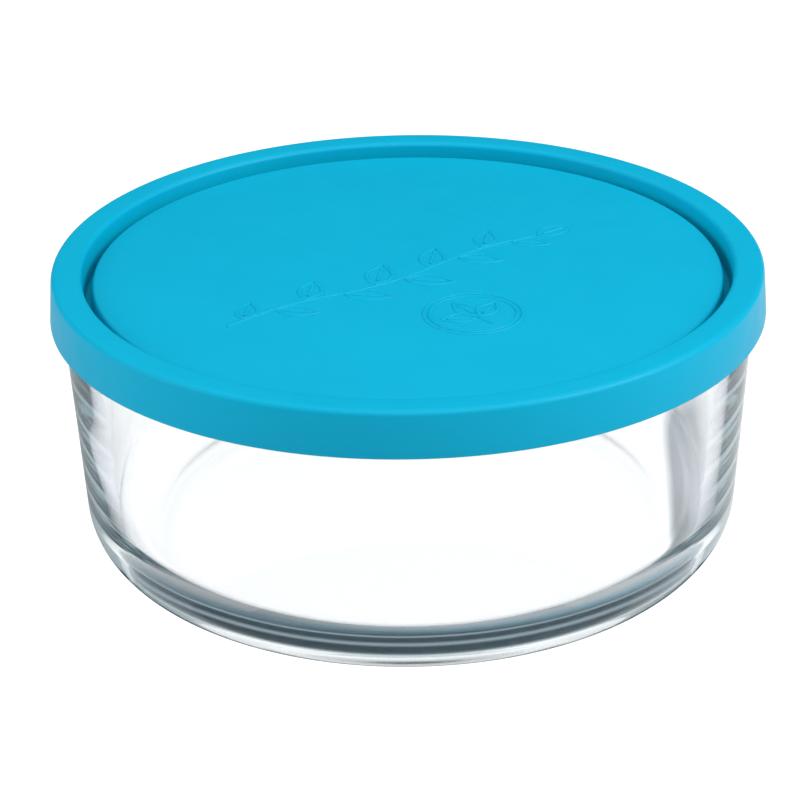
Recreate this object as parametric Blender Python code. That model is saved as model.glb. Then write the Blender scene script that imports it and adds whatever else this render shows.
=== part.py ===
"""Round food storage container: a pressed glass bowl with a press-on plastic lid.

Frame: metres, +Z up, origin at the centre of the bowl's foot, which stands on Z = 0.
Both pieces are bodies of revolution about Z. Each outline below lies in the half plane
X >= 0 as (radius, height) corners, each corner with the radius of its fillet.
"""

import math

import bmesh
import bpy
from mathutils import Matrix, Vector

# Whole object
OVERALL_HEIGHT = 0.0768
LID_RADIUS = 0.0910  # at the skirt's lower edge, the widest point
SEGMENTS = 72  # round the axis; both pieces share it, so that the gaps between them stay even
WORKING_GAP = 0.00035  # between glass and lid, so that the lid slides off without touching

# Lid, one piece of soft plastic
LID_WALL = 0.0013
SKIRT_HEIGHT = 0.0118
SKIRT_TAPER = 0.00085  # how much narrower the skirt is at its top
SHOULDER_FILLET = 0.0015
RIM_INNER_RADIUS = 0.0826  # where the rim's flat top would meet the groove's outer wall
RIM_INNER_FILLET = 0.0013
PANEL_DROP = 0.00305  # from the rim's top to the centre panel
PANEL_RADIUS = 0.0799
PANEL_FILLET = 0.0008
GROOVE_DEPTH = 0.0083  # from the rim's top
GROOVE_FLOOR_INNER = 0.0802
GROOVE_FLOOR_OUTER = 0.0820
PLUG_TAPER = 0.0007  # the plug's outer face draws in by this much towards its foot
BEAD_HEIGHT = 0.0020  # centre of the skirt's retaining bead above its lower edge
BEAD_PROUD = 0.0007
SMALL_FILLET = 0.0004

# Bowl, pressed glass
GLASS_RIM_THICKNESS = 0.00465
GLASS_RIM_FILLET = 0.0016
GLASS_WALL_RADIUS = 0.08777  # outside, level with the lid's lower edge
OUTER_DRAFT = math.radians(3.64)
INNER_DRAFT = math.radians(5.7)
RIM_BAND_HEIGHT = 0.0046  # the slightly thicker band at the mouth that holds the lid
RIM_BAND_BLEND = 0.0016
FOOT_FILLET = 0.0155  # outside, between the foot and the wall
FOOT_INNER_RADIUS = 0.0625  # the foot ring's inner edge
FOOT_RECESS = 0.0015  # how far the middle of the underside is domed up
FLOOR_FILLET = 0.0174  # inside, between the floor and the wall
FLOOR_HEIGHT = 0.00495  # at the floor's edge
FLOOR_DISH = 0.00035  # how much lower the floor's middle is
FLOOR_STEPS = 6  # straight pieces in the section of the dome and of the dish

# Heights and radii that follow from the dimensions above
SKIRT_FOOT = OVERALL_HEIGHT - SKIRT_HEIGHT
SHOULDER_RADIUS = LID_RADIUS - SKIRT_TAPER
PANEL_TOP = OVERALL_HEIGHT - PANEL_DROP
RIM_UNDERSIDE = OVERALL_HEIGHT - LID_WALL
GROOVE_FLOOR = OVERALL_HEIGHT - GROOVE_DEPTH
PLUG_FOOT = GROOVE_FLOOR - LID_WALL
SKIRT_INNER_TOP = SHOULDER_RADIUS - 0.85 * LID_WALL
GLASS_TOP = RIM_UNDERSIDE - WORKING_GAP
GLASS_RIM_OUTER = SKIRT_INNER_TOP - WORKING_GAP
GLASS_RIM_INNER = GLASS_RIM_OUTER - GLASS_RIM_THICKNESS
PLUG_RADIUS = GLASS_RIM_INNER - WORKING_GAP


def fillet_points(before, corner, after, radius, steps):
    """Points of the arc that rounds a corner between two straight sides."""
    to_before = (before - corner).normalized()
    to_after = (after - corner).normalized()
    half_angle = to_before.angle(to_after) / 2
    centre_distance = radius / math.sin(half_angle)
    centre = corner + (to_before + to_after).normalized() * centre_distance
    tangent = radius / math.tan(half_angle)
    start = corner + to_before * tangent - centre
    turn = start.angle_signed(corner + to_after * tangent - centre)
    points = []
    for step in range(steps + 1):
        points.append(centre + Matrix.Rotation(-turn * step / steps, 2) @ start)
    return points


def outline(corners):
    """Turns (radius, height, fillet, steps) corners into the outline's points."""
    places = [Vector(corner[:2]) for corner in corners]
    points = []
    for index, (radius, height, fillet, steps) in enumerate(corners):
        if fillet:
            points += fillet_points(places[index - 1], places[index], places[index + 1], fillet, steps)
        else:
            points.append(places[index])
    return points


def plastic(name, colour, roughness):
    """An opaque moulded plastic."""
    material = bpy.data.materials.new(name)
    material.use_nodes = True
    shader = material.node_tree.nodes["Principled BSDF"]
    shader.inputs["Base Color"].default_value = (*colour, 1.0)
    shader.inputs["Roughness"].default_value = roughness
    shader.inputs["Metallic"].default_value = 0.0
    return material


def glass(name, colour, roughness):
    """A clear glass."""
    material = plastic(name, colour, roughness)
    shader = material.node_tree.nodes["Principled BSDF"]
    shader.inputs["Transmission Weight"].default_value = 1.0
    shader.inputs["IOR"].default_value = 1.5
    return material


def turned(name, points, material):
    """A closed body of revolution about Z from an outline that starts and ends on the axis."""
    body = bmesh.new()
    verts = [body.verts.new((point.x, 0.0, point.y)) for point in points]
    edges = [body.edges.new(pair) for pair in zip(verts, verts[1:])]
    bmesh.ops.spin(
        body,
        geom=verts + edges,
        cent=(0.0, 0.0, 0.0),
        axis=(0.0, 0.0, 1.0),
        angle=math.tau,
        steps=SEGMENTS,
        use_merge=True,
    )
    bmesh.ops.remove_doubles(body, verts=body.verts, dist=1e-6)
    bmesh.ops.recalc_face_normals(body, faces=body.faces)
    mesh = bpy.data.meshes.new(name)
    body.to_mesh(mesh)
    body.free()
    mesh.shade_smooth()
    mesh.set_sharp_from_angle(angle=math.radians(40))
    mesh.materials.append(material)
    piece = bpy.data.objects.new(name, mesh)
    bpy.context.scene.collection.objects.link(piece)
    return piece


def shallow_curve(radius, middle_height, edge_height):
    """A shallow parabola from the axis out to a radius, as outline corners."""
    corners = []
    for step in range(FLOOR_STEPS + 1):
        share = step / FLOOR_STEPS
        corners.append((radius * share, middle_height + (edge_height - middle_height) * share**2, 0.0, 0))
    return corners


def bowl_outline():
    """The bowl's section, from the middle of its underside out, up and back down inside."""
    wall_at_foot = GLASS_WALL_RADIUS - SKIRT_FOOT * math.tan(OUTER_DRAFT)
    band_foot = GLASS_TOP - RIM_BAND_HEIGHT - RIM_BAND_BLEND
    wall_at_band = wall_at_foot + band_foot * math.tan(OUTER_DRAFT)
    inner_at_floor = GLASS_RIM_INNER - (GLASS_TOP - FLOOR_HEIGHT) * math.tan(INNER_DRAFT)
    floor_edge = inner_at_floor - FLOOR_FILLET / math.tan((math.radians(90) + INNER_DRAFT) / 2)
    underside = shallow_curve(FOOT_INNER_RADIUS, FOOT_RECESS, 0.0)
    floor = shallow_curve(floor_edge, FLOOR_HEIGHT - FLOOR_DISH, FLOOR_HEIGHT)
    return outline(
        underside
        + [
            (wall_at_foot, 0.0, FOOT_FILLET, 9),
            (wall_at_band, band_foot, 0.0, 0),
            (GLASS_RIM_OUTER, band_foot + RIM_BAND_BLEND, 0.0, 0),
            (GLASS_RIM_OUTER, GLASS_TOP, GLASS_RIM_FILLET, 3),
            (GLASS_RIM_INNER, GLASS_TOP, GLASS_RIM_FILLET, 3),
            (inner_at_floor, FLOOR_HEIGHT, FLOOR_FILLET, 10),
        ]
        + floor[::-1]
    )


def lid_outline():
    """The lid's section, from the middle of its panel out over the rim, round the skirt and back."""
    bead = SKIRT_FOOT + BEAD_HEIGHT
    skirt_inner_foot = LID_RADIUS - 0.85 * LID_WALL
    bead_radius = GLASS_RIM_OUTER + WORKING_GAP
    panel_underside = PANEL_TOP - LID_WALL
    return outline(
        [
            (0.0, PANEL_TOP, 0.0, 0),
            (PANEL_RADIUS, PANEL_TOP, PANEL_FILLET, 3),
            (GROOVE_FLOOR_INNER, GROOVE_FLOOR, SMALL_FILLET, 1),
            (GROOVE_FLOOR_OUTER, GROOVE_FLOOR, SMALL_FILLET, 1),
            (RIM_INNER_RADIUS, OVERALL_HEIGHT, RIM_INNER_FILLET, 3),
            (SHOULDER_RADIUS, OVERALL_HEIGHT, SHOULDER_FILLET, 4),
            (LID_RADIUS, SKIRT_FOOT, 0.0, 0),
            (skirt_inner_foot, SKIRT_FOOT, SMALL_FILLET, 1),
            (skirt_inner_foot, bead - BEAD_PROUD, 0.0, 0),
            (bead_radius, bead, SMALL_FILLET, 2),
            (skirt_inner_foot - 0.0003, bead + 2 * BEAD_PROUD, 0.0, 0),
            (SKIRT_INNER_TOP, RIM_UNDERSIDE, SMALL_FILLET, 1),
            (PLUG_RADIUS, RIM_UNDERSIDE, SMALL_FILLET, 1),
            (PLUG_RADIUS - PLUG_TAPER, PLUG_FOOT, SMALL_FILLET, 2),
            (GROOVE_FLOOR_INNER - LID_WALL, PLUG_FOOT, SMALL_FILLET, 1),
            (PANEL_RADIUS - LID_WALL, panel_underside, SMALL_FILLET, 1),
            (0.0, panel_underside, 0.0, 0),
        ]
    )


def main():
    for leftover in list(bpy.data.objects):
        bpy.data.objects.remove(leftover)
    turned("glass_bowl", bowl_outline(), glass("clear_glass", (0.93, 0.96, 0.96), 0.02))
    turned("snap_lid", lid_outline(), plastic("lid_plastic", (0.002, 0.42, 0.67), 0.35))


main()
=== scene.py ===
"""Looks of a round glass food container with a press-on lid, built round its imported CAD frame.

Metres, +Z up, origin at the centre of the bowl's foot. Both pieces are turned about Z from
outlines of (radius, height) corners; the moulded relief on the lid is drawn as paths that
a half-round ridge follows.
"""

import math

import bmesh
import bpy
from mathutils import Matrix, Vector


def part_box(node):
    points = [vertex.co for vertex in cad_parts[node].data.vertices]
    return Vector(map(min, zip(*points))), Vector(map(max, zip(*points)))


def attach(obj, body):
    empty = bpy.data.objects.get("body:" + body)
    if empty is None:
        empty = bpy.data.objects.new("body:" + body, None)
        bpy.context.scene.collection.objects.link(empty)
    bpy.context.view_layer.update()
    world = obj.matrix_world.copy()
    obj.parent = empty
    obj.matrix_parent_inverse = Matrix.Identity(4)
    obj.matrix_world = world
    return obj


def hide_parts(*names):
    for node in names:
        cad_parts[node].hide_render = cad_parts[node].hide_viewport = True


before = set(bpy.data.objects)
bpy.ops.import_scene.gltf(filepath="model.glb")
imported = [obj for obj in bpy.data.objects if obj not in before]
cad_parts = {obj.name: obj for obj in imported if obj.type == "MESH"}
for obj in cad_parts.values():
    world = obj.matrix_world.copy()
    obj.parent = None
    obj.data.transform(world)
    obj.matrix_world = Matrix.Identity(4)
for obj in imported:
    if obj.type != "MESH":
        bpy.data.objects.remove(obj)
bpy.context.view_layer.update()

# Sizes read from the frame
BOWL_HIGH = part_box("glass_bowl")[1]
LID_LOW, LID_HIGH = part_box("snap_lid")
OVERALL_HEIGHT = LID_HIGH.z
LID_RADIUS = LID_HIGH.x
SKIRT_FOOT = LID_LOW.z
GLASS_TOP = BOWL_HIGH.z
GLASS_RIM_OUTER = BOWL_HIGH.x

# Meshes
SEGMENTS = 288  # round the axis
MERGE_DISTANCE = 1e-6
SHARP_ANGLE = math.radians(40)
BLEND_STEPS = 2  # in the arc of a fillet
SMALL_STEPS = 4
PANEL_STEPS = 8
ROUND_STEPS = 10
SHOULDER_STEPS = 12

# Lid
LID_WALL = 0.0013
SKIRT_WALL = 0.85 * LID_WALL
SKIRT_TAPER = 0.00085
SHOULDER_RADIUS = LID_RADIUS - SKIRT_TAPER
SHOULDER_FILLET = 0.0015
RIM_INNER_RADIUS = 0.0826
RIM_INNER_FILLET = 0.0013
PANEL_TOP = OVERALL_HEIGHT - 0.00305
PANEL_RADIUS = 0.0799
PANEL_FILLET = 0.0008
GROOVE_FLOOR = OVERALL_HEIGHT - 0.0083
GROOVE_FLOOR_INNER = 0.0802
GROOVE_FLOOR_OUTER = 0.0820
PLUG_TAPER = 0.0007
WORKING_GAP = 0.00035
BEAD_HEIGHT = 0.0020
BEAD_PROUD = 0.0007
BEAD_BACK = 0.0003
SMALL_FILLET = 0.0004
SKIRT_EDGE_FILLET = 0.00035
BLEND_FILLET = 0.0002

# Bowl
GLASS_RIM_THICKNESS = 0.00465
GLASS_RIM_FILLET = 0.0016
GLASS_WALL_RADIUS = 0.08777
OUTER_DRAFT = math.radians(3.64)
INNER_DRAFT = math.radians(5.7)
RIM_BAND_HEIGHT = 0.0046
RIM_BAND_BLEND = 0.0016
RIM_BAND_FILLET = 0.001
FOOT_FILLET = 0.0155
FOOT_FILLET_STEPS = 110
FOOT_INNER_RADIUS = 0.0625
FOOT_RECESS = 0.0015
UNDERSIDE_STEPS = 100
FLOOR_FILLET = 0.0174
FLOOR_FILLET_STEPS = 32
FLOOR_HEIGHT = 0.00495
FLOOR_DISH = 0.00035
FLOOR_STEPS = 20

# Slow waves in the pressed walls: lobes round the axis, waves per metre of height, phase, amplitude
WALL_WAVES = ((3, 9.0, 0.4, 0.000030), (7, 21.0, 2.1, 0.000016), (13, 34.0, 4.0, 0.000008))
WAVE_FOOT = 0.012
WAVE_TOP = 0.062
WAVE_LEAST_RADIUS = 0.9 * FOOT_INNER_RADIUS
INNER_WAVE_PHASE = 1.7  # how far the inner wall's waves run ahead of the outer wall's
HALF_WALL = 0.0025
WAVY_WALL_FOOT = 0.022  # where the extra corners that carry the waves begin
WAVY_WALL_MARGIN = 0.002
WAVY_WALL_STEPS = 14

# Moulded dots on the underside: radius of the arc, its first angle in degrees, number of dots
DOT_ARCS = ((0.0492, 176, 9), (0.0515, 178, 7))
DOT_STEP = 3.6
DOT_RADIUS = 0.0012
DOT_HEIGHT = 0.00016

# Moulded relief on the lid's panel
RIDGE_WIDTH = 0.00075
RIDGE_HEIGHT = 0.00030
RIDGE_SUNK = 0.00012
RIDGE_STEPS = 6
CIRCLE_STEPS = 72
LEAF_STEPS = 14
LEAF_BELLY = 0.85  # below 1 brings a leaf's widest place nearer its base
MIDRIB_SHARES = (0.18, 0.4, 0.62, 0.8)
SPRIG_START = Vector((-0.0440, -0.0345))
SPRIG_END = Vector((0.0335, 0.0205))
SPRIG_SWAY = 0.0018
STEM_STEPS = 60
SPRIG_LEAVES = 10
LEAF_LENGTH = 0.0132
LEAF_WIDTH = 0.0068
LEAF_SPREAD = math.radians(46)
LEAF_STALK = 0.0011
END_LEAF_SHRINK = 0.25
TIP_LEAF_STALK = 0.0008
TIP_LEAF_SCALE = 0.8
EMBLEM_CENTRE = Vector((0.0160, -0.0290))
EMBLEM_TURN = math.radians(36)
EMBLEM_RINGS = (0.0122, 0.0108)
SEEDLING_ROOT = 0.0072  # below the emblem's centre
SEEDLING_CROWN = 0.0024
SEEDLING_STALK = 0.0007
SEEDLING_LEAF_WIDTH = 0.0050
SEEDLING_LEAVES = ((0, 0.0098), (62, 0.0088), (-62, 0.0088))  # turn in degrees, length
GATE_RINGS = (0.0022, 0.0100, 0.0112)

# Lid's plastic; a noise's scale is about 1 / its size in metres
LID_COLOURS = ((0.0003, 0.425, 0.665, 1), (0.0005, 0.465, 0.705, 1))
LID_FLOW_SCALE = 28.0
LID_FLOW_DETAIL = 3.0
LID_SHEEN_SCALE = 160.0
LID_SHEEN_NOISE = (0.3, 0.7)
LID_ROUGHNESS = (0.35, 0.43)
LID_SPECULAR = 0.16
GRAIN_SCALE = 2200.0
GRAIN_DETAIL = 4.0
GRAIN_STRENGTH = 0.12
GRAIN_DEPTH = 0.00006
SHEEN_DETAIL = 2.0

# Glass
GLASS_IOR = 1.5
GLASS_POLISH_SCALE = 90.0
GLASS_POLISH_NOISE = (0.35, 0.7)
GLASS_ROUGHNESS = (0.012, 0.035)
GLASS_TINT = (0.78, 0.9, 0.92, 1)
GLASS_TINT_DENSITY = 8.0
GLASS_BOUNCES = 32  # light runs a long way inside the glass before it comes out

# Room: its light by height, its mirror image in the object, and what shows through the glass
WHITE = (1.2, 1.2, 1.2, 1)
HORIZON_LIGHT = 0.05
ZENITH_LIGHT = 0.75
LIGHT_THROUGH_GLASS = 0.3
GLOSS_HEIGHTS = (0.7, 0.95)
GLOSS_LOW = 0.02
GLOSS_HIGH = 0.6
SIDE_GREY = (0.42, 0.49, 0.51, 1)
BACKDROP_SIDES = (0.6, 0.85)
BACKDROP_FOOT = (0.06, 0.12)
BACKDROP_TOP = (0.38, 0.42)
BACKDROP_TURNS = (2.5, 5.5)

# Lamps: name, place, power, whether the lamp itself is reflected
LAMP_SIZE = 0.8
LAMPS = (
    ("key_softbox", (1.0, -0.35, 1.0), 9.5, True),
    ("front_softbox", (0.15, -0.75, 1.35), 3.5, True),
    ("right_softbox", (1.2, -0.25, 0.5), 3, False),
    ("left_softbox", (-1.2, -0.2, 0.45), 7, False),
)

# Floor as it shows through the glass; each pair of metres is the two ends of a soft edge
FLOOR_RADIUS = 4.0
FLOOR_SIDES = 96
FLOOR_DROP = 0.0002
FLOOR_ROUGHNESS = 0.9
FLOOR_COLOUR = (0.50, 0.54, 0.57, 1)
FOOT_SHADE = (0.28, 0.50, 0.62, 1)
FOOT_SHADE_EDGE = (0.0786, 0.0816)
# Painted rings of light on the floor under the foot, seen only through the glass
PAINTED_FOOT_RINGS = ((0.0742, 0.0012), (0.0694, 0.0016), (0.0600, 0.0045))  # radius, half width
PAINTED_RING_COLOUR = (0.30, 0.37, 0.42, 1)
BESIDE_COLOUR = (1.18, 1.21, 1.27, 1)
BESIDE_EDGE = (0.088, 0.105)
SHADOW_COLOUR = (0.30, 0.33, 0.37, 1)
SHADOW_EDGE = (0.0722, 0.0762)
SHADOW_SLANT = 0.12
SHADOW_FAR_SIDE = (0.096, 0.110)
SHADOW_FAR_BACK = (0.050, 0.080)
SHADOW_FRONT = (-0.62, -0.45)
DEEP_SHADOW_COLOUR = (0.04, 0.06, 0.08, 1)
DEEP_SHADOW_BACK = (-0.012, 0.014)
DEEP_SHADOW_SIDE = (0.081, 0.087)
# Painted light in the floor's reflection in the glass, brighter towards the right
PAINTED_REFLECTION_COLOUR = (1.0, 1.03, 1.05, 1)
MIRROR_SIDES = (-0.09, 0.09)
MIRROR_AMOUNTS = (0.12, 0.75)
# Painted light behind the heel: how many turns inside the glass, and how far back it starts
HEEL_TURNS = (2.5, 4.5)
HEEL_LIGHT_BACK = -0.056
HEEL_SHADE = (0.05, 0.07, 0.09, 1)
HEEL_SHADE_RADIUS = 0.083
BELOW_ONE = 0.5  # tells a count of 0 from a count of 1
THROUGH_BOTH_WALLS = 3.5  # four glass faces or more

# Camera
CAMERA_LENS = 133.3
CAMERA_DISTANCE = 0.76915
CAMERA_ELEVATION = math.radians(25.497)
CAMERA_AIM_HEIGHT = 0.03681
CAMERA_YAW = -0.00319
CAMERA_ROLL = math.radians(-0.914)


def heading(angle):
    """The flat unit vector at an angle from +X."""
    return Vector((math.cos(angle), math.sin(angle)))


def fillet_points(before, corner, after, radius, steps):
    """Points of the arc that rounds a corner between two straight sides."""
    to_before = (before - corner).normalized()
    to_after = (after - corner).normalized()
    half_angle = to_before.angle(to_after) / 2
    centre = corner + (to_before + to_after).normalized() * (radius / math.sin(half_angle))
    tangent = radius / math.tan(half_angle)
    start = corner + to_before * tangent - centre
    turn = start.angle_signed(corner + to_after * tangent - centre)
    return [centre + Matrix.Rotation(-turn * step / steps, 2) @ start for step in range(steps + 1)]


def outline(corners):
    """Turns (radius, height, fillet, steps) corners into the outline's points."""
    places = [Vector(corner[:2]) for corner in corners]
    points = []
    for index, (*_, fillet, steps) in enumerate(corners):
        if fillet:
            points += fillet_points(places[index - 1], places[index], places[index + 1], fillet, steps)
        else:
            points.append(places[index])
    return points


def add_piece(name, body, material, body_name):
    bmesh.ops.recalc_face_normals(body, faces=body.faces)
    mesh = bpy.data.meshes.new(name)
    body.to_mesh(mesh)
    body.free()
    mesh.shade_smooth()
    mesh.set_sharp_from_angle(angle=SHARP_ANGLE)
    mesh.materials.append(material)
    piece = bpy.data.objects.new(name, mesh)
    bpy.context.scene.collection.objects.link(piece)
    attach(piece, body_name)
    return piece


def settle_order(body):
    """Lists edges and faces by their corners, because a spin lists them differently at each run."""
    body.verts.index_update()
    for parts in (body.edges, body.faces):
        in_order = sorted(parts, key=lambda part: sorted(vert.index for vert in part.verts))
        for index, part in enumerate(in_order):
            part.index = index
        parts.sort()


def turned(points):
    """A closed body of revolution about Z from an outline that starts and ends on the axis."""
    body = bmesh.new()
    verts = [body.verts.new((point.x, 0.0, point.y)) for point in points]
    edges = [body.edges.new(pair) for pair in zip(verts, verts[1:])]
    bmesh.ops.spin(
        body,
        geom=verts + edges,
        cent=(0, 0, 0),
        axis=(0, 0, 1),
        angle=math.tau,
        steps=SEGMENTS,
        use_merge=True,
    )
    bmesh.ops.remove_doubles(body, verts=body.verts, dist=MERGE_DISTANCE)
    settle_order(body)
    return body


def shallow_curve(radius, middle_height, edge_height, steps):
    """A shallow parabola from the axis out to a radius, as outline corners."""
    corners = []
    for step in range(steps + 1):
        share = step / steps
        height = middle_height + (edge_height - middle_height) * share**2
        corners.append((radius * share, height, 0.0, 0))
    return corners


def bowl_outline():
    """The bowl's section, from the middle of its underside out, up and back down inside."""
    wall_at_foot = GLASS_WALL_RADIUS - SKIRT_FOOT * math.tan(OUTER_DRAFT)
    band_foot = GLASS_TOP - RIM_BAND_HEIGHT - RIM_BAND_BLEND
    wall_at_band = wall_at_foot + band_foot * math.tan(OUTER_DRAFT)
    rim_inner = GLASS_RIM_OUTER - GLASS_RIM_THICKNESS
    inner_at_floor = rim_inner - (GLASS_TOP - FLOOR_HEIGHT) * math.tan(INNER_DRAFT)
    floor_edge = inner_at_floor - FLOOR_FILLET / math.tan((math.radians(90) + INNER_DRAFT) / 2)
    underside = shallow_curve(FOOT_INNER_RADIUS, FOOT_RECESS, 0.0, UNDERSIDE_STEPS)
    floor = shallow_curve(floor_edge, FLOOR_HEIGHT - FLOOR_DISH, FLOOR_HEIGHT, FLOOR_STEPS)
    walls = wall_corners(wall_at_foot, wall_at_band, band_foot, rim_inner, inner_at_floor)
    return outline(underside + walls + floor[::-1])


def wall_corners(wall_at_foot, wall_at_band, band_foot, rim_inner, inner_at_floor):
    """The bowl's outer wall, rim and inner wall; extra corners along both walls carry the waves."""
    outer = [(wall_at_foot, 0.0, FOOT_FILLET, FOOT_FILLET_STEPS)]
    inner = []
    low = WAVY_WALL_FOOT
    high = band_foot - WAVY_WALL_MARGIN
    for step in range(WAVY_WALL_STEPS + 1):
        height = low + (high - low) * step / WAVY_WALL_STEPS
        inner_radius = inner_at_floor + (height - FLOOR_HEIGHT) * math.tan(INNER_DRAFT)
        outer.append((wall_at_foot + height * math.tan(OUTER_DRAFT), height, 0.0, 0))
        inner.append((inner_radius, height, 0.0, 0))
    rim = [
        (wall_at_band, band_foot, RIM_BAND_FILLET, SMALL_STEPS),
        (GLASS_RIM_OUTER, band_foot + RIM_BAND_BLEND, RIM_BAND_FILLET, SMALL_STEPS),
        (GLASS_RIM_OUTER, GLASS_TOP, GLASS_RIM_FILLET, ROUND_STEPS),
        (rim_inner, GLASS_TOP, GLASS_RIM_FILLET, ROUND_STEPS),
    ]
    floor_corner = (inner_at_floor, FLOOR_HEIGHT, FLOOR_FILLET, FLOOR_FILLET_STEPS)
    return outer + rim + inner[::-1] + [floor_corner]


def hump(distance, half_width):
    """1 at distance 0, falling smoothly to 0 at the half width."""
    if abs(distance) >= half_width:
        return 0.0
    return 0.5 + 0.5 * math.cos(math.pi * distance / half_width)


def add_waves(body):
    """Slow waves in the drafted walls, as a pressed wall has them."""
    for vert in body.verts:
        share = (vert.co.z - WAVE_FOOT) / (WAVE_TOP - WAVE_FOOT)
        radius = vert.co.xy.length
        if not 0 < share < 1 or radius < WAVE_LEAST_RADIUS:
            continue
        around = math.atan2(vert.co.y, vert.co.x)
        wall_middle = GLASS_WALL_RADIUS - HALF_WALL - (SKIRT_FOOT - vert.co.z) * math.tan(INNER_DRAFT)
        side_phase = INNER_WAVE_PHASE if radius < wall_middle else 0.0
        push = 0.0
        for lobes, waves, phase, amplitude in WALL_WAVES:
            turn = lobes * around + math.tau * waves * vert.co.z + phase + side_phase
            push += amplitude * math.sin(turn)
        push *= math.sin(math.pi * share)
        vert.co.x += push * math.cos(around)
        vert.co.y += push * math.sin(around)


def add_dots(body):
    """Small moulded dots on the domed underside."""
    centres = []
    for radius, first_angle, count in DOT_ARCS:
        for number in range(count):
            angle = math.radians(first_angle + DOT_STEP * number)
            centres.append(radius * heading(angle))
    for vert in body.verts:
        if vert.co.z > FOOT_RECESS or vert.co.x > 0 or vert.co.xy.length > FOOT_INNER_RADIUS:
            continue
        for centre in centres:
            vert.co.z -= DOT_HEIGHT * hump((vert.co.xy - centre).length, DOT_RADIUS)


def make_bowl():
    """The glass bowl, in place of its CAD solid."""
    body = turned(bowl_outline())
    add_waves(body)
    add_dots(body)
    bowl = add_piece("pressed_bowl", body, glass_material(), "bowl")
    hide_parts("glass_bowl")


def lid_outline():
    """The lid's section, from the middle of its panel out over the rim, round the skirt and back."""
    bead = SKIRT_FOOT + BEAD_HEIGHT
    skirt_inner_foot = LID_RADIUS - SKIRT_WALL
    bead_radius = GLASS_RIM_OUTER + WORKING_GAP
    rim_underside = OVERALL_HEIGHT - LID_WALL
    plug_radius = GLASS_RIM_OUTER - GLASS_RIM_THICKNESS - WORKING_GAP
    plug_foot = GROOVE_FLOOR - LID_WALL
    panel_underside = PANEL_TOP - LID_WALL
    return outline([
        (0.0, PANEL_TOP, 0.0, 0),
        (PANEL_RADIUS, PANEL_TOP, PANEL_FILLET, PANEL_STEPS),
        (GROOVE_FLOOR_INNER, GROOVE_FLOOR, SMALL_FILLET, SMALL_STEPS),
        (GROOVE_FLOOR_OUTER, GROOVE_FLOOR, SMALL_FILLET, SMALL_STEPS),
        (RIM_INNER_RADIUS, OVERALL_HEIGHT, RIM_INNER_FILLET, ROUND_STEPS),
        (SHOULDER_RADIUS, OVERALL_HEIGHT, SHOULDER_FILLET, SHOULDER_STEPS),
        (LID_RADIUS, SKIRT_FOOT, SKIRT_EDGE_FILLET, SMALL_STEPS),
        (skirt_inner_foot, SKIRT_FOOT, SMALL_FILLET, SMALL_STEPS),
        (skirt_inner_foot, bead - BEAD_PROUD, BLEND_FILLET, BLEND_STEPS),
        (bead_radius, bead, SMALL_FILLET, SMALL_STEPS),
        (skirt_inner_foot - BEAD_BACK, bead + 2 * BEAD_PROUD, BLEND_FILLET, BLEND_STEPS),
        (SHOULDER_RADIUS - SKIRT_WALL, rim_underside, SMALL_FILLET, SMALL_STEPS),
        (plug_radius, rim_underside, SMALL_FILLET, SMALL_STEPS),
        (plug_radius - PLUG_TAPER, plug_foot, SMALL_FILLET, SMALL_STEPS),
        (GROOVE_FLOOR_INNER - LID_WALL, plug_foot, SMALL_FILLET, SMALL_STEPS),
        (PANEL_RADIUS - LID_WALL, panel_underside, SMALL_FILLET, SMALL_STEPS),
        (0.0, panel_underside, 0.0, 0),
    ])


def ridge_section(up):
    """The ridge's closed cross-section as (aside, height) pairs, with its foot sunk into the panel."""
    half = RIDGE_WIDTH / 2
    section = [(half, -RIDGE_SUNK * up)]
    for step in range(RIDGE_STEPS + 1):
        angle = math.pi * step / RIDGE_STEPS
        section.append((half * math.cos(angle), RIDGE_HEIGHT * math.sin(angle) * up))
    section.append((-half, -RIDGE_SUNK * up))
    return section


def add_ridge(body, path, closed, height, up=1):
    """Sweeps the ridge's section along a flat path at a height; up is -1 on an underside."""
    count = len(path)
    rings = []
    for index, place in enumerate(path):
        before = path[index - 1] if closed or index > 0 else place
        after = path[(index + 1) % count] if closed or index < count - 1 else place
        along = (after - before).normalized()
        aside = Vector((-along.y, along.x))
        ring = []
        for offset, rise in ridge_section(up):
            spot = place + aside * offset
            ring.append(body.verts.new((spot.x, spot.y, height + rise)))
        rings.append(ring)
    pairs = list(zip(rings, rings[1:]))
    if closed:
        pairs.append((rings[-1], rings[0]))
    for first, second in pairs:
        for corner in range(len(first)):
            following = (corner + 1) % len(first)
            body.faces.new((first[corner], first[following], second[following], second[corner]))
    if not closed:
        body.faces.new(rings[0])
        body.faces.new(rings[-1])


def circle_path(centre, radius):
    return [centre + radius * heading(math.tau * step / CIRCLE_STEPS) for step in range(CIRCLE_STEPS)]


def leaf_outline(base, angle, length, width):
    """A pointed leaf's closed outline, out along one side and back along the other."""
    along = heading(angle)
    aside = Vector((-along.y, along.x))
    edge = []
    for side in (1, -1):
        for step in range(LEAF_STEPS):
            share = step / LEAF_STEPS if side > 0 else 1 - step / LEAF_STEPS
            belly = math.sin(math.pi * share**LEAF_BELLY) * width / 2
            edge.append(base + along * length * share + aside * side * belly)
    return edge


def add_leaf(body, base, angle, length, width):
    """A leaf's outline and its midrib, as ridges on the panel."""
    midrib = [base + heading(angle) * length * share for share in MIDRIB_SHARES]
    add_ridge(body, leaf_outline(base, angle, length, width), True, PANEL_TOP)
    add_ridge(body, midrib, False, PANEL_TOP)


def stem_path():
    """A gently swaying stem."""
    along = SPRIG_END - SPRIG_START
    aside = Vector((-along.y, along.x)).normalized()
    path = []
    for step in range(STEM_STEPS + 1):
        share = step / STEM_STEPS
        sway = SPRIG_SWAY * math.sin(3 * math.pi * share)
        path.append(SPRIG_START + along * share + aside * sway)
    return path


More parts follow.
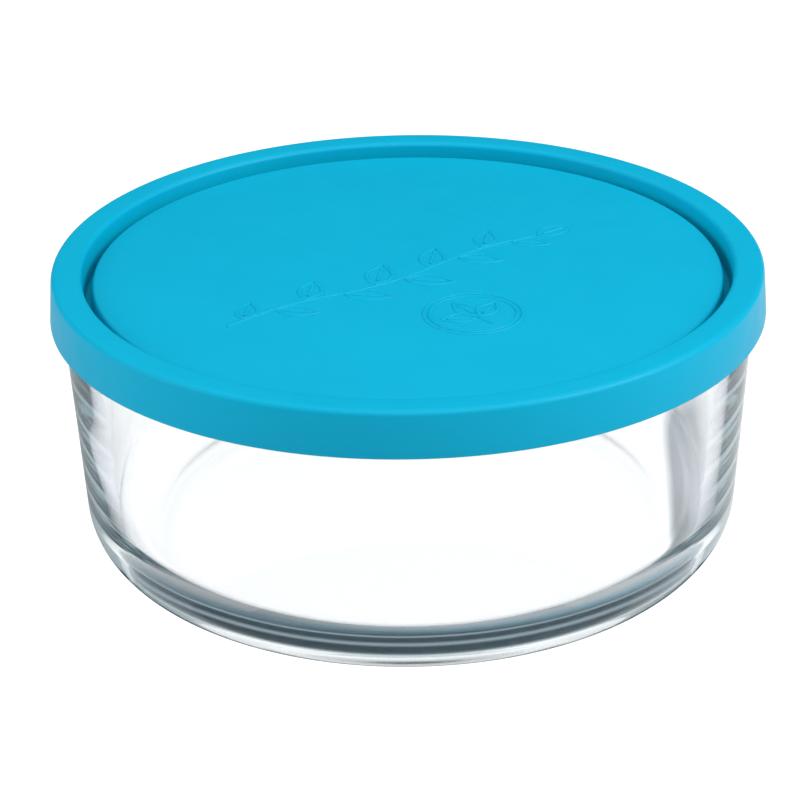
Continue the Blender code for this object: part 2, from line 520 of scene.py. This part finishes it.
def add_sprig(body):
    """A long leafy sprig across the panel."""
    stem = stem_path()
    add_ridge(body, stem, False, PANEL_TOP)
    along = SPRIG_END - SPRIG_START
    stem_angle = math.atan2(along.y, along.x)
    for number in range(SPRIG_LEAVES):
        place = stem[round((number + 0.6) * (len(stem) - 1) / (SPRIG_LEAVES + 0.4))]
        side = 1 if number % 2 == 0 else -1
        from_middle = abs(2 * number / (SPRIG_LEAVES - 1) - 1)
        size = 1.0 - END_LEAF_SHRINK * from_middle
        angle = stem_angle + side * LEAF_SPREAD
        base = place + heading(angle) * LEAF_STALK
        add_leaf(body, base, angle, LEAF_LENGTH * size, LEAF_WIDTH * size)
    tip_base = SPRIG_END + heading(stem_angle) * TIP_LEAF_STALK
    add_leaf(body, tip_base, stem_angle, LEAF_LENGTH * TIP_LEAF_SCALE, LEAF_WIDTH * TIP_LEAF_SCALE)


def add_emblem(body):
    """A round emblem of two rings and a three-leaved seedling."""
    for radius in EMBLEM_RINGS:
        add_ridge(body, circle_path(EMBLEM_CENTRE, radius), True, PANEL_TOP)
    upright = EMBLEM_TURN + math.pi / 2
    root = EMBLEM_CENTRE - heading(upright) * SEEDLING_ROOT
    crown = EMBLEM_CENTRE - heading(upright) * SEEDLING_CROWN
    add_ridge(body, [root, (root + crown) / 2, crown], False, PANEL_TOP)
    for turn, length in SEEDLING_LEAVES:
        angle = upright + math.radians(turn)
        base = crown + heading(angle) * SEEDLING_STALK
        add_leaf(body, base, angle, length, SEEDLING_LEAF_WIDTH)


def make_lid():
    """The lid in place of its CAD solid, its relief, and the rings round its moulding gate."""
    plastic = lid_material()
    lid = add_piece("press_on_lid", turned(lid_outline()), plastic, "lid")
    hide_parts("snap_lid")
    for name, draw in (("moulded_sprig", add_sprig), ("moulded_emblem", add_emblem)):
        relief = bmesh.new()
        draw(relief)
        add_piece(name, relief, plastic, "lid")
    gate = bmesh.new()
    for radius in GATE_RINGS:
        add_ridge(gate, circle_path(Vector((0.0, 0.0)), radius), True, PANEL_TOP - LID_WALL, up=-1)
    add_piece("gate_mark", gate, plastic, "lid")


def math_node(nodes, links, operation, first, second):
    """A Math node; each input is a number or another node's output."""
    node = nodes.new("ShaderNodeMath")
    node.operation = operation
    for socket, value in zip(node.inputs, (first, second)):
        if isinstance(value, (int, float)):
            socket.default_value = value
        else:
            links.new(value, socket)
    return node.outputs[0]


def product(nodes, links, first, *others):
    """All of the outputs multiplied together."""
    result = first
    for other in others:
        result = math_node(nodes, links, "MULTIPLY", result, other)
    return result


def range_node(nodes, links, value, low, high, at_low, at_high):
    """A clamped Map Range node."""
    node = nodes.new("ShaderNodeMapRange")
    for name, number in (("From Min", low), ("From Max", high), ("To Min", at_low), ("To Max", at_high)):
        node.inputs[name].default_value = number
    links.new(value, node.inputs["Value"])
    return node.outputs[0]


def mix_node(nodes, links, factor, first, second):
    """A Mix node on colours; each of the two is a colour or another node's output."""
    node = nodes.new("ShaderNodeMix")
    node.data_type = "RGBA"
    links.new(factor, node.inputs[0])
    for socket, value in ((node.inputs[6], first), (node.inputs[7], second)):
        if isinstance(value, tuple):
            socket.default_value = value
        else:
            links.new(value, socket)
    return node.outputs[2]


def noise_node(nodes, links, scale, detail):
    """Noise in the piece's own metres."""
    place = nodes.new("ShaderNodeTexCoord")
    noise = nodes.new("ShaderNodeTexNoise")
    noise.inputs["Scale"].default_value = scale
    noise.inputs["Detail"].default_value = detail
    links.new(place.outputs["Object"], noise.inputs["Vector"])
    return noise.outputs["Fac"]


def separated(nodes, links, vector):
    """A vector's X, Y and Z outputs."""
    node = nodes.new("ShaderNodeSeparateXYZ")
    links.new(vector, node.inputs[0])
    return tuple(node.outputs)


def bump_node(nodes, links, height, strength, distance):
    bump = nodes.new("ShaderNodeBump")
    bump.inputs["Strength"].default_value = strength
    bump.inputs["Distance"].default_value = distance
    links.new(height, bump.inputs["Height"])
    return bump.outputs["Normal"]


def lid_material():
    """Satin turquoise polyethylene: faint colour flow, uneven sheen and a fine moulded grain."""
    material = bpy.data.materials.new("lid_plastic")
    material.use_nodes = True
    nodes, links = material.node_tree.nodes, material.node_tree.links
    shader = nodes["Principled BSDF"]
    flow = noise_node(nodes, links, LID_FLOW_SCALE, LID_FLOW_DETAIL)
    links.new(mix_node(nodes, links, flow, *LID_COLOURS), shader.inputs["Base Color"])
    sheen = noise_node(nodes, links, LID_SHEEN_SCALE, SHEEN_DETAIL)
    roughness = range_node(nodes, links, sheen, *LID_SHEEN_NOISE, *LID_ROUGHNESS)
    links.new(roughness, shader.inputs["Roughness"])
    grain = noise_node(nodes, links, GRAIN_SCALE, GRAIN_DETAIL)
    links.new(bump_node(nodes, links, grain, GRAIN_STRENGTH, GRAIN_DEPTH), shader.inputs["Normal"])
    shader.inputs["Specular IOR Level"].default_value = LID_SPECULAR
    return material


def glass_material():
    """Clear pressed glass with a faint blue-green body and an uneven fire polish."""
    material = bpy.data.materials.new("clear_glass")
    material.use_nodes = True
    nodes, links = material.node_tree.nodes, material.node_tree.links
    shader = nodes["Principled BSDF"]
    shader.inputs["Base Color"].default_value = (1, 1, 1, 1)
    polish = noise_node(nodes, links, GLASS_POLISH_SCALE, SHEEN_DETAIL)
    roughness = range_node(nodes, links, polish, *GLASS_POLISH_NOISE, *GLASS_ROUGHNESS)
    links.new(roughness, shader.inputs["Roughness"])
    shader.inputs["Transmission Weight"].default_value = 1.0
    shader.inputs["IOR"].default_value = GLASS_IOR
    absorption = nodes.new("ShaderNodeVolumeAbsorption")
    absorption.inputs["Color"].default_value = GLASS_TINT
    absorption.inputs["Density"].default_value = GLASS_TINT_DENSITY
    links.new(absorption.outputs[0], nodes["Material Output"].inputs["Volume"])
    return material


def turns_between(nodes, links, path, low, high):
    """1 for light that has turned inside the glass more than low and fewer than high times."""
    turns = path.outputs["Glossy Depth"]
    above = math_node(nodes, links, "GREATER_THAN", turns, low)
    below = math_node(nodes, links, "LESS_THAN", turns, high)
    return math_node(nodes, links, "MULTIPLY", above, below)


def painted_ring_glow(nodes, links, radius):
    """1 in the middle of each painted ring of light, standing for the light the foot gathers on the floor,
    0 away from them.
    """
    glow = 0.0
    for middle, half_width in PAINTED_FOOT_RINGS:
        offset = math_node(nodes, links, "SUBTRACT", radius, middle)
        distance = math_node(nodes, links, "ABSOLUTE", offset, 0.0)
        ring = range_node(nodes, links, distance, 0.0, half_width, 1.0, 0.0)
        glow = math_node(nodes, links, "ADD", glow, ring)
    return glow


def shadow_patch(nodes, links, across, behind, facing):
    """1 on the shaded patch of floor beside the bowl's right side, for what looks at it from the front."""
    slant = math_node(nodes, links, "MULTIPLY", behind, SHADOW_SLANT)
    slanted = math_node(nodes, links, "SUBTRACT", across, slant)
    return product(
        nodes,
        links,
        range_node(nodes, links, slanted, *SHADOW_EDGE, 0.0, 1.0),
        range_node(nodes, links, across, *SHADOW_FAR_SIDE, 1.0, 0.0),
        range_node(nodes, links, behind, *SHADOW_FAR_BACK, 1.0, 0.0),
        range_node(nodes, links, facing, *SHADOW_FRONT, 1.0, 0.0),
    )


def floor_layers(nodes, links, radius):
    """(amount, colour) of each light or shade laid over the floor, the lowest first."""
    path = nodes.new("ShaderNodeLightPath")
    geometry = nodes.new("ShaderNodeNewGeometry")
    across, behind, _ = separated(nodes, links, geometry.outputs["Position"])
    facing = separated(nodes, links, geometry.outputs["Incoming"])[1]
    refracted = path.outputs["Is Transmission Ray"]
    faces = path.outputs["Transmission Depth"]

    beside = product(nodes, links, refracted, range_node(nodes, links, radius, *BESIDE_EDGE, 0.0, 1.0))
    # Painted rings of light, laid on the floor only where it is seen through the glass.
    rings = product(nodes, links, refracted, painted_ring_glow(nodes, links, radius))
    # Painted light: the floor shows white to light that has turned a few times inside the glass, behind
    # the heel.
    behind_heel = math_node(nodes, links, "GREATER_THAN", behind, HEEL_LIGHT_BACK)
    painted_heel_light = product(nodes, links, turns_between(nodes, links, path, *HEEL_TURNS), behind_heel)
    unturned = math_node(nodes, links, "LESS_THAN", path.outputs["Glossy Depth"], BELOW_ONE)
    through_both = math_node(nodes, links, "GREATER_THAN", faces, THROUGH_BOTH_WALLS)
    clear_view = product(nodes, links, unturned, through_both)
    white = math_node(nodes, links, "MAXIMUM", path.outputs["Is Camera Ray"], clear_view)
    white = math_node(nodes, links, "MAXIMUM", white, painted_heel_light)

    shadow = product(nodes, links, clear_view, shadow_patch(nodes, links, across, behind, facing))
    deep_back = range_node(nodes, links, behind, *DEEP_SHADOW_BACK, 1.0, 0.0)
    deep_side = range_node(nodes, links, across, *DEEP_SHADOW_SIDE, 1.0, 0.0)
    deep_shadow = product(nodes, links, shadow, deep_back, deep_side)

    # Painted reflection: where the glass mirrors the floor, the floor glows, more towards the right.
    outside = math_node(nodes, links, "LESS_THAN", faces, BELOW_ONE)
    mirrored = product(nodes, links, path.outputs["Is Glossy Ray"], outside)
    bright_side = range_node(nodes, links, across, *MIRROR_SIDES, *MIRROR_AMOUNTS)
    painted_reflection_glow = product(nodes, links, mirrored, bright_side)
    near_heel = math_node(nodes, links, "LESS_THAN", radius, HEEL_SHADE_RADIUS)
    heel_shade = product(nodes, links, mirrored, near_heel)
    return (
        (beside, BESIDE_COLOUR),
        (rings, PAINTED_RING_COLOUR),
        (white, WHITE),
        (shadow, SHADOW_COLOUR),
        (deep_shadow, DEEP_SHADOW_COLOUR),
        (painted_reflection_glow, PAINTED_REFLECTION_COLOUR),
        (heel_shade, HEEL_SHADE),
    )


def layer_over(nodes, links, surface, amount, colour):
    """A surface with an even glow of one colour mixed over it."""
    glow = nodes.new("ShaderNodeEmission")
    glow.inputs["Color"].default_value = colour
    mix = nodes.new("ShaderNodeMixShader")
    links.new(amount, mix.inputs[0])
    links.new(surface, mix.inputs[1])
    links.new(glow.outputs[0], mix.inputs[2])
    return mix.outputs[0]


def floor_material():
    """Pale floor: white to the eye, shaded by the bowl's foot where it is seen through the glass."""
    material = bpy.data.materials.new("pale_floor")
    material.use_nodes = True
    nodes, links = material.node_tree.nodes, material.node_tree.links
    shader = nodes["Principled BSDF"]
    shader.inputs["Roughness"].default_value = FLOOR_ROUGHNESS
    shader.inputs["Specular IOR Level"].default_value = 0.0
    from_centre = nodes.new("ShaderNodeVectorMath")
    from_centre.operation = "LENGTH"
    links.new(nodes.new("ShaderNodeNewGeometry").outputs["Position"], from_centre.inputs[0])
    radius = from_centre.outputs["Value"]
    beyond_foot = range_node(nodes, links, radius, *FOOT_SHADE_EDGE, 0.0, 1.0)
    links.new(mix_node(nodes, links, beyond_foot, FOOT_SHADE, FLOOR_COLOUR), shader.inputs["Base Color"])
    surface = shader.outputs[0]
    for amount, colour in floor_layers(nodes, links, radius):
        surface = layer_over(nodes, links, surface, amount, colour)
    links.new(surface, nodes["Material Output"].inputs["Surface"])
    return material


def make_floor():
    """The floor, just below the bowl's foot."""
    body = bmesh.new()
    bmesh.ops.create_circle(body, cap_ends=True, segments=FLOOR_SIDES, radius=FLOOR_RADIUS)
    mesh = bpy.data.meshes.new("floor")
    body.to_mesh(mesh)
    body.free()
    mesh.materials.append(floor_material())
    floor = bpy.data.objects.new("floor", mesh)
    floor.location.z = -FLOOR_DROP
    bpy.context.scene.collection.objects.link(floor)


def area_light(name, location, power, glossy):
    """A soft round lamp turned towards the origin, with or without its own reflections."""
    data = bpy.data.lights.new(name, "AREA")
    data.shape = "DISK"
    data.size = LAMP_SIZE
    data.energy = power
    lamp = bpy.data.objects.new(name, data)
    lamp.location = location
    lamp.rotation_euler = (-Vector(location)).to_track_quat("-Z", "Y").to_euler()
    lamp.visible_transmission = False
    lamp.visible_glossy = glossy
    bpy.context.scene.collection.objects.link(lamp)


def room_light(nodes, links, path, up, first_hit):
    """The room as lamp and as mirror image: dark at the horizon, light above."""
    lighting = range_node(nodes, links, up, 0.0, 1.0, HORIZON_LIGHT, ZENITH_LIGHT)
    refracted = path.outputs["Is Transmission Ray"]
    shade = range_node(nodes, links, refracted, 0.0, 1.0, 1.0, LIGHT_THROUGH_GLASS)
    gloss = range_node(nodes, links, up, *GLOSS_HEIGHTS, GLOSS_LOW, GLOSS_HIGH)
    glossy = product(nodes, links, path.outputs["Is Glossy Ray"], first_hit)
    return mix_node(nodes, links, glossy, product(nodes, links, lighting, shade), gloss)


def room_through_glass(nodes, links, path, up, behind):
    """White where it shows straight through the glass; grey walls round a white backdrop elsewhere."""
    backdrop = product(
        nodes,
        links,
        range_node(nodes, links, behind, *BACKDROP_SIDES, 0.0, 1.0),
        range_node(nodes, links, up, *BACKDROP_FOOT, 0.0, 1.0),
        range_node(nodes, links, up, *BACKDROP_TOP, 1.0, 0.0),
        turns_between(nodes, links, path, *BACKDROP_TURNS),
    )
    turned_inside = math_node(nodes, links, "GREATER_THAN", path.outputs["Glossy Depth"], BELOW_ONE)
    walls = mix_node(nodes, links, backdrop, SIDE_GREY, WHITE)
    return mix_node(nodes, links, turned_inside, WHITE, walls)


def make_world():
    """A soft studio room, plain white to the camera."""
    world = bpy.data.worlds.new("studio")
    bpy.context.scene.world = world
    world.use_nodes = True
    nodes, links = world.node_tree.nodes, world.node_tree.links
    path = nodes.new("ShaderNodeLightPath")
    direction = nodes.new("ShaderNodeTexCoord").outputs["Generated"]
    _, behind, up = separated(nodes, links, direction)
    first_hit = math_node(nodes, links, "LESS_THAN", path.outputs["Diffuse Depth"], BELOW_ONE)
    lit = room_light(nodes, links, path, up, first_hit)
    through = room_through_glass(nodes, links, path, up, behind)
    through_glass = product(nodes, links, path.outputs["Is Transmission Ray"], first_hit)
    seen = mix_node(nodes, links, through_glass, lit, through)
    colour = mix_node(nodes, links, path.outputs["Is Camera Ray"], seen, WHITE)
    links.new(colour, nodes["Background"].inputs["Color"])


def make_camera():
    """The camera, turned from a level aim at the axis by a slight yaw and roll."""
    back = Vector((0, -math.cos(CAMERA_ELEVATION), math.sin(CAMERA_ELEVATION)))
    right = Vector((1, 0, 0))
    up = right.cross(-back)
    forward = right * math.sin(CAMERA_YAW) - back * math.cos(CAMERA_YAW)
    right = right * math.cos(CAMERA_YAW) + back * math.sin(CAMERA_YAW)
    rolled_right = right * math.cos(CAMERA_ROLL) + up * math.sin(CAMERA_ROLL)
    rolled_up = up * math.cos(CAMERA_ROLL) - right * math.sin(CAMERA_ROLL)
    matrix = Matrix((rolled_right, rolled_up, -forward)).transposed().to_4x4()
    matrix.translation = Vector((0, 0, CAMERA_AIM_HEIGHT)) + back * CAMERA_DISTANCE
    data = bpy.data.cameras.new("camera")
    data.lens = CAMERA_LENS
    camera = bpy.data.objects.new("camera", data)
    camera.matrix_world = matrix
    bpy.context.scene.collection.objects.link(camera)
    bpy.context.scene.camera = camera


def main():
    """Sets up the light paths, then makes the two pieces and the studio round them."""
    scene = bpy.context.scene
    scene.view_settings.view_transform = "Standard"
    scene.cycles.max_bounces = GLASS_BOUNCES
    scene.cycles.transmission_bounces = GLASS_BOUNCES
    scene.cycles.glossy_bounces = GLASS_BOUNCES
    scene.cycles.diffuse_bounces = 1
    make_bowl()
    make_lid()
    make_floor()
    make_world()
    for lamp in LAMPS:
        area_light(*lamp)
    make_camera()


main()
